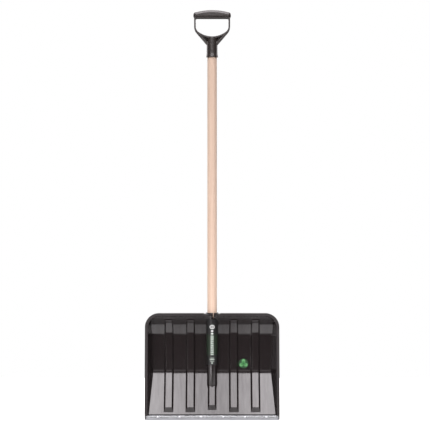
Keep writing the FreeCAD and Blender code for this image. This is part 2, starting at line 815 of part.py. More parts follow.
label_outer = cone("label_outer", socket_radius_at(label_low) + size["film"],
                   socket_radius_at(label_high) + size["film"], size["label_length"],
                   (0, grip_y, label_low))
label_inner = cone("label_inner", socket_radius_at(label_low), socket_radius_at(label_high),
                   size["label_length"], (0, grip_y, label_low))
label_half = socket_radius * sine(size["label_arc"] / 2)
label_front = block("label_front", 2 * label_half, FAR, size["label_length"],
                    (-label_half, grip_y - FAR, label_low))
finish(overlap("label_film", cut("label_sleeve", label_outer, label_inner), label_front), "socket_label")
sticker = cylinder("sticker", size["sticker_radius"], size["film"],
                   (size["sticker_side"], floor_y, scoop_centre[1] + size["sticker_lift"]), (1, 0, 0), 90)
finish(sticker, "round_sticker")


# ---------------------------------------------------------------- checks and files

doc.recompute()
for thing in doc.Objects:
    if "Invalid" in thing.State or "Error" in thing.State:
        raise RuntimeError(f"{thing.Name} did not build: {thing.State}")
os.makedirs("parts", exist_ok=True)
for solid in finished:
    shape = solid.Shape
    if shape.isNull() or not shape.isValid() or not shape.Solids:
        raise RuntimeError(f"{solid.Label} has no valid solid")
    shape.exportStep(f"parts/{solid.Label}.step")
    print(solid.Label, len(shape.Solids), round(shape.Volume), shape.BoundBox)
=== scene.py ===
"""Snow shovel: a black moulded pan with a metal edge, on a wooden shaft with a D-shaped grip.

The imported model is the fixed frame. Each sub-assembly below takes its place from that frame, gives
the kept pieces their finishes, and adds finer pieces where the plain ones would look too simple.
"""

import logging
import math
from dataclasses import dataclass
from typing import Any, Optional, Protocol

import bmesh
import bpy
from mathutils.bvhtree import BVHTree
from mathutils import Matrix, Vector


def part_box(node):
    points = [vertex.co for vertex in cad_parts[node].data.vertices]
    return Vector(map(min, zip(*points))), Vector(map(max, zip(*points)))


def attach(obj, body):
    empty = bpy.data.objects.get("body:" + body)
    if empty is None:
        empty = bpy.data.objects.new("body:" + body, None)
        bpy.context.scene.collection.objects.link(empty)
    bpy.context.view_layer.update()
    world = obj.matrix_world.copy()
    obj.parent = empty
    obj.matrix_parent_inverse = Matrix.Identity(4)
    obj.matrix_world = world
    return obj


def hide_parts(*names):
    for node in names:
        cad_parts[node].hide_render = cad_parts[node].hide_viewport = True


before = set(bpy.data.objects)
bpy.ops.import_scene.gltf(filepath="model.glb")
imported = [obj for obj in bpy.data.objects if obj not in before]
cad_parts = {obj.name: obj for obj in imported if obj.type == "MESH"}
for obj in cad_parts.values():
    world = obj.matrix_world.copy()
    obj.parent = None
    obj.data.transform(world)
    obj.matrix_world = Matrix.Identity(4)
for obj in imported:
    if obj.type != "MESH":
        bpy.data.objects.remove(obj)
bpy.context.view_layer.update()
MM = 0.001
QUARTER = math.pi / 2
log = logging.getLogger("snow_shovel")


# ------------------------------------------------------------------ shader expressions

class Value:
    """A socket that takes part in Python arithmetic."""

    def __init__(self, tree: "Tree", socket: Any) -> None:
        """Wrap a socket of a tree."""
        self.tree = tree
        self.socket = socket

    def _math(self, operation: str, *others: Any) -> "Value":
        """Add a Math node on this value and the others."""
        return self.tree.math(operation, self, *others)

    def __add__(self, other: Any) -> "Value":
        """Sum."""
        return self._math("ADD", other)

    def __radd__(self, other: Any) -> "Value":
        """Sum with a number on the left."""
        return self.tree.math("ADD", other, self)

    def __sub__(self, other: Any) -> "Value":
        """Difference."""
        return self._math("SUBTRACT", other)

    def __rsub__(self, other: Any) -> "Value":
        """Difference from a number on the left."""
        return self.tree.math("SUBTRACT", other, self)

    def __mul__(self, other: Any) -> "Value":
        """Product."""
        return self._math("MULTIPLY", other)

    def __rmul__(self, other: Any) -> "Value":
        """Product with a number on the left."""
        return self.tree.math("MULTIPLY", other, self)

    def __truediv__(self, other: Any) -> "Value":
        """Quotient."""
        return self._math("DIVIDE", other)

    def __pow__(self, other: Any) -> "Value":
        """Power."""
        return self._math("POWER", other)

    def over(self, edge: float, soft: float) -> "Value":
        """A mask that rises from 0 to 1 around an edge.

        Args:
            edge: The value at which the mask is one half.
            soft: The width of the rise.

        Returns:
            The mask.
        """
        return self.tree.ramp(self, edge - soft / 2, edge + soft / 2)

    def under(self, edge: float, soft: float) -> "Value":
        """A mask that falls from 1 to 0 around an edge."""
        return 1 - self.over(edge, soft)

    def absolute(self) -> "Value":
        """The value without its sign."""
        return self._math("ABSOLUTE")

    def at_most(self, other: Any) -> "Value":
        """The smaller of two values."""
        return self._math("MINIMUM", other)

    def at_least(self, other: Any) -> "Value":
        """The larger of two values."""
        return self._math("MAXIMUM", other)


class Tree:
    """A node tree of any kind, built from expressions."""

    def __init__(self, tree: bpy.types.NodeTree) -> None:
        """Start an empty tree."""
        self.tree = tree
        tree.nodes.clear()

    def node(self, kind: str, settings: Optional[dict] = None,
             inputs: Optional[dict] = None) -> Any:
        """Add any node.

        Args:
            kind: The node's type.
            settings: Attributes set before its sockets are used.
            inputs: Values, or values to link, by socket name or number.

        Returns:
            The node.
        """
        made = self.tree.nodes.new(kind)
        for name, setting in (settings or {}).items():
            setattr(made, name, setting)
        for name, value in (inputs or {}).items():
            self.feed(made.inputs[name], value)
        return made

    def feed(self, socket: Any, value: Any) -> None:
        """Link a value to a socket, or set the socket's own number.

        Args:
            socket: The socket that takes the value.
            value: An expression or an output to link, or a plain number or colour.
        """
        source = value.socket if isinstance(value, Value) else value
        if hasattr(source, "is_output"):
            self.tree.links.new(source, socket)
        else:
            socket.default_value = source

    def value(self, made: Any, output: Any = 0) -> Value:
        """Wrap a node's output."""
        return Value(self, made.outputs[output])

    def math(self, operation: str, *terms: Any) -> Value:
        """A Math node on one to three terms."""
        made = self.node("ShaderNodeMath", {"operation": operation}, dict(enumerate(terms)))
        return self.value(made)

    def ramp(self, value: Any, low: float, high: float, start: float = 0.0,
             stop: float = 1.0) -> Value:
        """A smooth change from start to stop as the value goes from low to high.

        Args:
            value: The value that drives it.
            low: Where the change starts.
            high: Where the change ends.
            start: The result at and below low.
            stop: The result at and above high.

        Returns:
            The result.
        """
        ends = {"From Min": low, "From Max": high, "To Min": start, "To Max": stop}
        made = self.node("ShaderNodeMapRange", {"interpolation_type": "SMOOTHSTEP"},
                         {"Value": value, **ends})
        return self.value(made)


Colour = tuple[float, float, float, float]
Scale = tuple[float, float, float]

WHITE: Colour = (1.0, 1.0, 1.0, 1.0)
NOISE_ROUGHNESS = 0.55
MIX_FACTOR, MIX_LOW, MIX_HIGH, MIX_RESULT = 0, 6, 7, 2


class Shader(Tree):
    """A material's or a world's tree."""

    def mix(self, factor: Any, low: Any, high: Any) -> Value:
        """A colour between two colours.

        Args:
            factor: How far the colour is from low to high.
            low: The colour at 0.
            high: The colour at 1.

        Returns:
            The colour.
        """
        made = self.node("ShaderNodeMix", {"data_type": "RGBA"},
                         {MIX_FACTOR: factor, MIX_LOW: low, MIX_HIGH: high})
        return self.value(made, MIX_RESULT)

    def where(self) -> Any:
        """Object coordinates as a vector socket, in metres."""
        return self.node("ShaderNodeTexCoord").outputs["Object"]

    def parts(self, vector: Any) -> tuple[Value, Value, Value]:
        """The X, Y and Z of a vector."""
        split = self.node("ShaderNodeSeparateXYZ", None, {0: vector})
        return self.value(split, 0), self.value(split, 1), self.value(split, 2)

    def noise(self, vector: Any, scale: float, detail: float) -> Value:
        """Smooth noise around one half.

        Args:
            vector: The coordinates it reads.
            scale: Its repeats in a metre, or in a unit of the vector.
            detail: How many finer layers it has.

        Returns:
            The noise.
        """
        made = self.node("ShaderNodeTexNoise", None, {
            "Vector": vector, "Scale": scale, "Detail": detail, "Roughness": NOISE_ROUGHNESS})
        return self.value(made)

    def streaks(self, vector: Any, scale: Scale, detail: float) -> Value:
        """Smooth noise with its own scale along each axis.

        Args:
            vector: The coordinates it reads.
            scale: Its repeats in a metre along X, Y and Z.
            detail: How many finer layers it has.

        Returns:
            The noise.
        """
        made = self.node("ShaderNodeVectorMath", {"operation": "MULTIPLY"}, {0: vector, 1: scale})
        return self.noise(made.outputs[0], 1.0, detail)

    def bump(self, height: Any, depth: float) -> Value:
        """A bump whose full height is a depth in metres."""
        made = self.node("ShaderNodeBump", None,
                         {"Height": height, "Distance": depth, "Strength": 1.0})
        return self.value(made)

    def surface(self, inputs: dict) -> None:
        """End the tree in a Principled surface with these socket values."""
        made = self.node("ShaderNodeBsdfPrincipled", None, inputs)
        out = self.node("ShaderNodeOutputMaterial")
        self.tree.links.new(made.outputs[0], out.inputs["Surface"])


class Builder(Tree):
    """A Geometry Nodes tree with named inputs for its sizes."""

    def __init__(self, name: str) -> None:
        """Start a tree that takes and gives geometry."""
        super().__init__(bpy.data.node_groups.new(name, "GeometryNodeTree"))
        for way in ("INPUT", "OUTPUT"):
            self.tree.interface.new_socket("Geometry", in_out=way, socket_type="NodeSocketGeometry")
        self.given: dict[str, Any] = {}
        self.door = self.node("NodeGroupInput")

    @property
    def base(self) -> Any:
        """The geometry of the piece that carries the tree."""
        return self.door.outputs["Geometry"]

    def named(self, kind: str, name: str, value: float) -> Value:
        """A named input.

        Args:
            kind: The socket's type.
            name: The input's name.
            value: What the piece sets it to.

        Returns:
            The input.
        """
        socket = self.tree.interface.new_socket(name, in_out="INPUT", socket_type=kind)
        self.given[socket.identifier] = value
        return self.value(self.door, name)

    def size(self, name: str, value: float) -> Value:
        """A named input that holds a length in metres or a plain number."""
        return self.named("NodeSocketFloat", name, value)

    def count(self, name: str, value: int) -> Value:
        """A named input that holds a whole number."""
        return self.named("NodeSocketInt", name, value)

    def vector(self, x: Any = 0.0, y: Any = 0.0, z: Any = 0.0) -> Any:
        """A vector of three values."""
        return self.node("ShaderNodeCombineXYZ", None, {0: x, 1: y, 2: z}).outputs[0]

    def step(self, kind: str, settings: Optional[dict] = None, **inputs: Any) -> Any:
        """A geometry node.

        Args:
            kind: The node's type, without its first words.
            settings: Attributes set before its sockets are used.
            inputs: Values by socket name, with underscores for spaces.

        Returns:
            Its first output.
        """
        named = {name.replace("_", " "): value for name, value in inputs.items()}
        return self.node("GeometryNode" + kind, settings, named).outputs[0]

    def joined(self, *parts: Any) -> Any:
        """Several geometries as one.

        Args:
            parts: The geometries.

        Returns:
            The joined geometry.
        """
        made = self.node("GeometryNodeJoinGeometry")
        for part in parts:
            self.feed(made.inputs[0], part)
        return made.outputs[0]

    def end(self, geometry: Any, finish: bpy.types.Material) -> None:
        """Make instances real, give the material and end the tree.

        Args:
            geometry: The finished geometry.
            finish: The material it wears.
        """
        real = self.step("RealizeInstances", Geometry=geometry)
        dressed = self.step("SetMaterial", Geometry=real, Material=finish)
        self.node("NodeGroupOutput", None, {"Geometry": dressed})

    def grow(self, name: str, start: bpy.types.Mesh, node: str, sharp: float = 30.0) -> None:
        """Run the tree on a start mesh and settle the result in the frame.

        Args:
            name: The piece's name.
            start: The mesh that the tree starts from.
            node: The kept piece that it stands for.
            sharp: The angle, in degrees, past which an edge is drawn sharp.
        """
        piece = bpy.data.objects.new(name, start)
        bpy.context.scene.collection.objects.link(piece)
        modifier = piece.modifiers.new(name, "NODES")
        modifier.node_group = self.tree
        for identifier, value in self.given.items():
            modifier[identifier] = value
        bake(piece)
        settle(piece, node)
        piece.data.shade_smooth()
        piece.data.set_sharp_from_angle(angle=math.radians(sharp))


def material(name: str) -> tuple[bpy.types.Material, Shader]:
    """Start a new material.

    Args:
        name: Its name.

    Returns:
        The material, and the shader that fills its tree.
    """
    made = bpy.data.materials.new(name)
    made.use_nodes = True
    return made, Shader(made.node_tree)


class Finish(Protocol):
    """What every finish has: its material's name, and a method that makes the material."""

    name: str

    def make(self) -> bpy.types.Material:
        """Build the material."""


# ------------------------------------------------------------------ finishes

Bar = tuple[float, float, float]
Oval = tuple[float, float, float, float]

PRINT_INDEX = 1.46


@dataclass(frozen=True)
class MouldedPlastic:
    """Black polypropylene: shiny off the tool, with flow streaks, fine grain and scuffs.

    The skin's shine varies in streaks along the flow of the mould, and rises away from the middle,
    from skin_near to skin_far. With both of them at or below zero it is even. Scratches gather
    low down.
    """

    name: str
    colour: Colour = (0.0125, 0.0098, 0.0098, 1.0)
    gloss: float = 0.13
    dull: float = 0.19
    skin: float = 0.0
    skin_streak: float = 0.0
    skin_near: float = 20 * MM
    skin_far: float = 190 * MM
    index: float = 1.46
    skin_index: float = 1.5
    grain: float = 0.03 * MM
    scuff: float = 0.25
    wear_height: float = 60 * MM
    wide_flow: Scale = (75.0, 20.0, 1.5)
    narrow_flow: Scale = (260.0, 60.0, 3.0)
    cloud_scale: float = 9.0
    grain_scale: float = 900.0
    scratch_scale: Scale = (420.0, 420.0, 16.0)
    scratch_edge: float = 0.71
    scratch_soft: float = 0.05

    def make(self) -> bpy.types.Material:
        """Build the material.

        Returns:
            The material.
        """
        made, s = material(self.name)
        where = s.where()
        x, _, z = s.parts(where)
        wide = s.streaks(where, self.wide_flow, 2.0)
        narrow = s.streaks(where, self.narrow_flow, 2.0)
        cloud = s.noise(where, self.cloud_scale, 3.0)
        fine = s.noise(where, self.grain_scale, 2.0)
        low = z.under(self.wear_height, 2 * self.wear_height)
        marks = s.streaks(where, self.scratch_scale, 2.0)
        scratches = marks.over(self.scratch_edge, self.scratch_soft) * low
        rough = (self.gloss + (self.dull - self.gloss) * cloud + (narrow - 0.5) * 0.03
                 + scratches * 0.08)
        pale = tuple(part * 2.2 + 0.006 for part in self.colour[:3]) + (1.0,)
        colour = s.mix(scratches * self.scuff + (cloud - 0.5) * 0.10 + 0.05, self.colour, pale)
        spread = s.ramp(x.absolute(), self.skin_near, self.skin_far) * self.skin
        flow = (wide - 0.5) * 1.5 + (narrow - 0.5) * 1.3 + 0.25
        skin = spread + flow * self.skin_streak
        s.surface({"Base Color": colour, "Roughness": rough, "IOR": self.index,
                   "Coat Weight": skin.at_least(0.0), "Coat Roughness": self.gloss,
                   "Coat IOR": self.skin_index,
                   "Normal": s.bump(fine * 0.6 + wide * 0.4, self.grain)})
        return made


@dataclass(frozen=True)
class TurnedWood:
    """Pale beech, sanded, with its grain and short flecks along the shaft."""

    name: str
    pale: Colour = (0.75, 0.59, 0.465, 1.0)
    deep: Colour = (0.62, 0.44, 0.33, 1.0)
    fleck: Colour = (0.34, 0.21, 0.13, 1.0)
    warp_scale: Scale = (14.0, 14.0, 1.6)
    ring_pitch: float = 900.0
    ring_warp: float = 26.0
    fibre_scale: Scale = (1500.0, 1500.0, 22.0)
    pore_scale: Scale = (2600.0, 2600.0, 90.0)
    grain: float = 0.06 * MM
    index: float = 1.42

    def make(self) -> bpy.types.Material:
        """Build the material.

        Returns:
            The material.
        """
        made, s = material(self.name)
        where = s.where()
        x, y, _ = s.parts(where)
        warp = s.streaks(where, self.warp_scale, 2.0)
        across = (x * 0.8 + y * 0.6) * self.ring_pitch
        rings = s.math("SINE", across + warp * self.ring_warp) * 0.5 + 0.5
        fibres = s.streaks(where, self.fibre_scale, 3.0)
        pores = s.streaks(where, self.pore_scale, 1.0).over(0.7, 0.08)
        colour = s.mix(rings * 0.28 + fibres * 0.35 + warp * 0.25, self.pale, self.deep)
        colour = s.mix(pores * 0.30, colour, self.fleck)
        s.surface({"Base Color": colour, "Roughness": 0.52 + fibres * 0.12, "IOR": self.index,
                   "Normal": s.bump(fibres * 0.7 - pores * 0.5, self.grain)})
        return made


@dataclass(frozen=True)
class RolledAluminium:
    """Mill-finish metal with fine rolling lines along it, darker towards its lower edge: painted
    shade of the folded lower edge.
    """

    name: str
    bright: Colour = (0.73, 0.76, 0.78, 1.0)
    # the colour of the painted shade low down on the metal
    shaded_tone: Colour = (0.44, 0.46, 0.475, 1.0)
    shade_top: float = 17 * MM
    rough: float = 0.20
    line_scale: Scale = (18.0, 1800.0, 1800.0)
    line_depth: float = 0.004 * MM
    cloud_scale: float = 35.0
    scratch_scale: Scale = (40.0, 900.0, 900.0)

    def make(self) -> bpy.types.Material:
        """Build the material.

        Returns:
            The material.
        """
        made, s = material(self.name)
        where = s.where()
        _, _, z = s.parts(where)
        lines = s.streaks(where, self.line_scale, 3.0)
        cloud = s.noise(where, self.cloud_scale, 3.0)
        scratches = s.streaks(where, self.scratch_scale, 2.0).over(0.68, 0.06)
        # painted shade: the colour darkens towards the lower edge, in place of the shading of the
        # folded edge
        painted_shade = s.ramp(z, 0.0, self.shade_top, 1.0, 0.0)
        darker = painted_shade * 0.8 + (cloud - 0.5) * 0.12 + scratches * 0.12
        rough = self.rough + (lines - 0.5) * 0.08 + painted_shade * 0.04 + scratches * 0.04
        s.surface({"Base Color": s.mix(darker, self.bright, self.shaded_tone), "Metallic": 1.0,
                   "Roughness": rough, "Normal": s.bump(lines, self.line_depth)})
        return made


@dataclass(frozen=True)
class ZincSteel:
    """Zinc-plated screw steel."""

    name: str
    bright: Colour = (0.62, 0.63, 0.66, 1.0)
    dull: Colour = (0.45, 0.45, 0.46, 1.0)
    cloud_scale: float = 400.0
    grain: float = 0.02 * MM

    def make(self) -> bpy.types.Material:
        """Build the material.

        Returns:
            The material.
        """
        made, s = material(self.name)
        cloud = s.noise(s.where(), self.cloud_scale, 3.0)
        s.surface({"Base Color": s.mix(cloud, self.bright, self.dull), "Metallic": 1.0,
                   "Roughness": 0.28 + cloud * 0.2, "Normal": s.bump(cloud, self.grain)})
        return made


@dataclass(frozen=True)
class SocketFilm:
    """A dark film on the socket: plain pale marks and a soft green ground, with no lettering.

    Each mark is given in millimetres, from the ground up. A bar has its middle height and its half
    sizes. An oval has the same, and then its hole.
    """

    name: str
    ground: Colour = (0.012, 0.012, 0.012, 1.0)
    green: Colour = (0.013, 0.023, 0.013, 1.0)
    mint: Colour = (0.44, 0.54, 0.45, 1.0)
    white: Colour = (0.62, 0.64, 0.62, 1.0)
    badge: tuple[Oval, ...] = ((309, 7.0, 8.5, 0.42), (309, 2.2, 2.4, -1.0))
    dots: tuple[Oval, ...] = ((295.5, 3.2, 4.2, -1.0), (286.5, 3.2, 4.2, -1.0))
    column: Bar = (248, 33, 5.0)
    column_pitch: float = 7.4
    column_waves: Scale = (260.0, 60.0, 420.0)
    rules: tuple[Bar, ...] = ((200, 1.1, 8.0), (204.5, 0.7, 6.0), (188, 1.6, 2.6), (194, 0.7, 7.0))
    green_top: float = 283
    green_foot: float = 214
    mint_top: float = 286
    soft: float = 1.2
    relief: float = 0.02 * MM

    def make(self) -> bpy.types.Material:
        """Build the material.

        Returns:
            The material.
        """
        made, s = material(self.name)
        where = s.where()
        x, _, z = s.parts(where)
        column = self.bar(x, z, *self.column)
        waves = s.streaks(where, self.column_waves, 1.0)
        steps = s.math("SINE", z * (2 * math.pi / (self.column_pitch * MM))) * 0.5 + 0.5
        column = column * (0.18 + 0.62 * (waves * 0.9 + steps * 0.35).over(0.60, 0.25))
        marks = column
        for oval in self.badge + self.dots:
            marks = marks + self.oval(x, z, *oval)
        for rule in self.rules:
            marks = marks + self.bar(x, z, *rule)
        marks = marks.at_most(1.0)
        green = z.under(self.green_top * MM, 10 * MM) * z.over(self.green_foot * MM, 8 * MM)
        ink = s.mix(z.under(self.mint_top * MM, 6 * MM) * 0.7, self.white, self.mint)
        colour = s.mix(marks, s.mix(green, self.ground, self.green), ink)
        s.surface({"Base Color": colour, "Roughness": 0.34 - marks * 0.08, "IOR": PRINT_INDEX,
                   "Normal": s.bump(marks, self.relief)})
        return made

    def bar(self, x: Value, z: Value, height: float, half_height: float,
            half_width: float) -> Value:
        """A soft rectangle across the middle of the film.

        Args:
            x: The place across, in metres.
            z: The height, in metres.
            height: The rectangle's middle, in millimetres, as are its sizes.
            half_height: Half of its height.
            half_width: Half of its width.

        Returns:
            Its mask.
        """
        soft = self.soft * MM
        return ((z - height * MM).absolute().under(half_height * MM, soft)
                * x.absolute().under(half_width * MM, soft))

    def oval(self, x: Value, z: Value, height: float, half_height: float, half_width: float,
             hole: float) -> Value:
        """A soft oval ring across the middle of the film.

        Args:
            x: The place across, in metres.
            z: The height, in metres.
            height: The oval's middle, in millimetres, as are its sizes.
            half_height: Half of its height.
            half_width: Half of its width.
            hole: The squared share of its size that its hole takes; below 0 is none.

        Returns:
            Its mask.
        """
        across = (x / (half_width * MM)) ** 2.0
        far = across + ((z - height * MM) / (half_height * MM)) ** 2.0
        return far.under(1.0, 0.25) * far.over(hole, 0.2)


@dataclass(frozen=True)
class LeafPrint:
    """A round green print: three plain leaves about a stem on a darker green ground."""

    name: str
    centre: tuple[float, float]
    radius: float
    ground: Colour = (0.006, 0.040, 0.010, 1.0)
    blade: Colour = (0.020, 0.150, 0.032, 1.0)
    rim: Colour = (0.115, 0.330, 0.125, 1.0)
    leaves: float = 3.0
    shortest: float = 0.24
    longest: float = 0.88
    fullness: float = 0.6
    speck_scale: float = 700.0
    relief: float = 0.02 * MM

    def make(self) -> bpy.types.Material:
        """Build the material.

        Returns:
            The material.
        """
        made, s = material(self.name)
        where = s.where()
        x, _, z = s.parts(where)
        side = (x - self.centre[0]) / self.radius
        rise = (z - self.centre[1]) / self.radius
        reach = s.math("SQRT", side * side + rise * rise)
        turn = s.math("ARCTAN2", side, rise)
        lobe = s.math("COSINE", turn * self.leaves)
        edge = self.shortest + (self.longest - self.shortest) * (lobe * 0.5 + 0.5) ** self.fullness
        share = reach / edge
        filled = share.under(1.0, 0.12) * reach.over(0.12, 0.08)
        outline = filled * share.over(0.66, 0.12)
        vein = lobe.over(0.97, 0.03) * reach.under(0.60, 0.1) * reach.over(0.15, 0.08)
        speck = s.noise(where, self.speck_scale, 2.0)
        colour = s.mix(filled * (0.8 + speck * 0.3), self.ground, self.blade)
        colour = s.mix((outline * 0.9 + vein * 0.6).at_most(1.0), colour, self.rim)
        s.surface({"Base Color": colour, "Roughness": 0.36 + speck * 0.08, "IOR": PRINT_INDEX,
                   "Normal": s.bump(outline + speck * 0.2, self.relief)})
        return made


# ------------------------------------------------------------------ studio

Rise = tuple[float, float]


@dataclass(frozen=True)
class SoftLight:
    """A patch of soft light in the room, as the shovel sees it, in degrees.

    Each edge is an angle and the width over which the light fades there: its bottom, its top, and
    how far to the side of its middle it ends, or starts where it lies behind.
    """

    strength: float
    bottom: Rise
    top: Optional[Rise] = None
    middle: float = 0.0
    within: Optional[Rise] = None
    beyond: Optional[Rise] = None

    def glow(self, lift: Value, turn: Value) -> Value:
        """How bright the room is here.

        Args:
            lift: The direction's height over the level.
            turn: Its turn from straight ahead.

        Returns:
            The brightness.
        """
        mask = lift.over(*self.bottom)
        if self.top:
            mask = mask * lift.under(*self.top)
        if self.within:
            mask = mask * (turn - self.middle).absolute().under(*self.within)
        if self.beyond:
            mask = mask * (turn - self.middle).absolute().over(*self.beyond)
        return mask * self.strength


@dataclass
class Studio:
    """A white room with soft lights: a wide one ahead and above, and smaller ones round it."""

    floor_front: float = -0.74
    floor_back: float = 1.2
    floor_left: float = -1.8
    floor_right: float = 0.9
    floor_drop: float = -0.0005
    camera_distance: float = 4.6
    view_width: float = 1.433
    centre_x: float = 0.0097
    centre_z: float = 0.6846
    sensor: float = 36.0
    far_limit: float = 50.0
    floor_shade: float = 0.75
    floor_glow: float = 0.6
    room_tint: Colour = (1.0, 0.955, 0.98, 1.0)
    room_glow: float = 0.045
    lights: tuple[SoftLight, ...] = (
        SoftLight(7.6, bottom=(25.0, 2.0), top=(62.0, 6.0), within=(30.0, 10.0)),
        SoftLight(1.3, bottom=(4.0, 3.0), top=(10.0, 3.0), within=(17.0, 8.0)),
        SoftLight(2.0, bottom=(63.0, 6.0)),
        SoftLight(24.0, bottom=(-12.0, 2.0), top=(-7.5, 1.5), middle=-26.0, within=(5.0, 4.0)),
        SoftLight(2.2, bottom=(5.0, 12.0), top=(60.0, 15.0), beyond=(115.0, 20.0)))

    def build(self) -> None:
        """Make the camera, the world and the floor."""
        self.camera()
        self.world()
        self.floor()
        bpy.context.scene.view_settings.view_transform = "Standard"

    def camera(self) -> None:
        """A long lens, level, straight in front of the pan."""
        data = bpy.data.cameras.new("camera")
        data.sensor_width = self.sensor
        data.lens = self.sensor * self.camera_distance / self.view_width
        data.clip_end = self.far_limit
        camera = bpy.data.objects.new("camera", data)
        camera.location = (self.centre_x, -self.camera_distance, self.centre_z)
        camera.rotation_euler = (QUARTER, 0, 0)
        bpy.context.scene.collection.objects.link(camera)
        bpy.context.scene.camera = camera

    def world(self) -> None:
        """White to the eye, and to the object a dark room with soft lights."""
        world = bpy.data.worlds.new("studio")
        world.use_nodes = True
        bpy.context.scene.world = world
        s = Shader(world.node_tree)
        x, y, z = s.parts(s.node("ShaderNodeTexCoord").outputs["Generated"])
        lift = s.math("ARCSINE", z) * (180 / math.pi)
        turn = s.math("ARCTAN2", x, -1 * y) * (180 / math.pi)
        glow: Any = self.room_glow
        for light in self.lights:
            glow = glow + light.glow(lift, turn)
        seen = s.node("ShaderNodeLightPath").outputs["Is Camera Ray"]
        white = s.node("ShaderNodeBackground", None, {"Color": WHITE, "Strength": 1.0})
        room = s.node("ShaderNodeBackground", None, {"Color": self.room_tint, "Strength": glow})
        both = s.node("ShaderNodeMixShader", None,
                      {0: seen, 1: room.outputs[0], 2: white.outputs[0]})
        s.node("ShaderNodeOutputWorld", None, {"Surface": both.outputs[0]})

    def floor(self) -> None:
        """A pale floor, bright enough to lose its edges in the white."""
        mesh = bpy.data.meshes.new("floor")
        corners = [(x, y, self.floor_drop) for x, y in (
            (self.floor_left, self.floor_front), (self.floor_right, self.floor_front),
            (self.floor_right, self.floor_back), (self.floor_left, self.floor_back))]
        mesh.from_pydata(corners, [], [(0, 1, 2, 3)])
        floor = bpy.data.objects.new("floor", mesh)
        bpy.context.scene.collection.objects.link(floor)
        made, s = material("pale_floor")
        s.surface({"Base Color": (self.floor_shade,) * 3 + (1.0,), "Roughness": 0.9,
                   "Emission Color": WHITE, "Emission Strength": self.floor_glow})
        mesh.materials.append(made)


# ------------------------------------------------------------------ pieces

Point = tuple[float, float, float]


def dress(node: str, finish: Finish) -> None:
    """Give a kept piece its finish.

    Args:
        node: The piece's name in the frame.
        finish: The finish it wears.
    """
    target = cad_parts[node]
    target.data.materials.clear()
    target.data.materials.append(finish.make())
    log.info("%s wears %s", node, finish.name)


@dataclass
class Moulding:
    """A moulded piece: the frame's own solid with every outer and inner edge rounded."""

    node: str
    name: str
    radius: float = 1.0 * MM
    steps: int = 3
    sharp: float = 24.0
    slack: float = 0.5
    weld: float = 0.02 * MM
    flat: float = 0.4
    flat_weight: int = 60

    def build(self, finish: Finish) -> None:
        """Round the solid's edges and dress it.

        Args:
            finish: The finish it wears.
        """
        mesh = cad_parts[self.node].data.copy()
        mesh.name = self.name
        mesh.materials.clear()
        mesh.materials.append(finish.make())
        work = bmesh.new()
        work.from_mesh(mesh)
        bmesh.ops.remove_doubles(work, verts=work.verts, dist=self.weld)
        skin = BVHTree.FromBMesh(work)
        bmesh.ops.dissolve_limit(work, angle_limit=math.radians(self.flat), verts=work.verts,
                                 edges=work.edges)
        work.to_mesh(mesh)
        work.free()
        mesh.shade_smooth()
        piece = bpy.data.objects.new(self.name, mesh)
        bpy.context.scene.collection.objects.link(piece)
        bevel = piece.modifiers.new("rounding", "BEVEL")
        bevel.width = self.radius
        bevel.segments = self.steps
        bevel.limit_method = "ANGLE"
        bevel.angle_limit = math.radians(self.sharp)
        bevel.use_clamp_overlap = False
        weighted = piece.modifiers.new("flat_faces", "WEIGHTED_NORMAL")
        weighted.mode = "FACE_AREA_WITH_ANGLE"
        weighted.weight = self.flat_weight
        weighted.keep_sharp = True
        bake(piece)
        self.hold_to_skin(piece.data, skin)
        settle(piece, self.node)

    def hold_to_skin(self, mesh: bpy.types.Mesh, skin: BVHTree) -> None:
        """Bring back every point that the rounding threw off the solid's own surface.

        Args:
            mesh: The rounded mesh.
            skin: The solid's surface before rounding.
        """
        moved = 0
        for vertex in mesh.vertices:
            near, _, _, distance = skin.find_nearest(vertex.co)
            if distance > self.slack * self.radius:
                vertex.co = near
                moved += 1
        log.info("%s: %d points brought back", self.name, moved)


def line_mesh(name: str, points: list[Point], closed: bool = True) -> bpy.types.Mesh:
    """A mesh of edges alone, along a line of points.

    Args:
        name: The mesh's name.
        points: The points, in metres.
        closed: Whether the last point joins the first.

    Returns:
        The mesh.
    """
    mesh = bpy.data.meshes.new(name)
    last = len(points) if closed else len(points) - 1
    mesh.from_pydata(points, [(index, (index + 1) % len(points)) for index in range(last)], [])
    return mesh


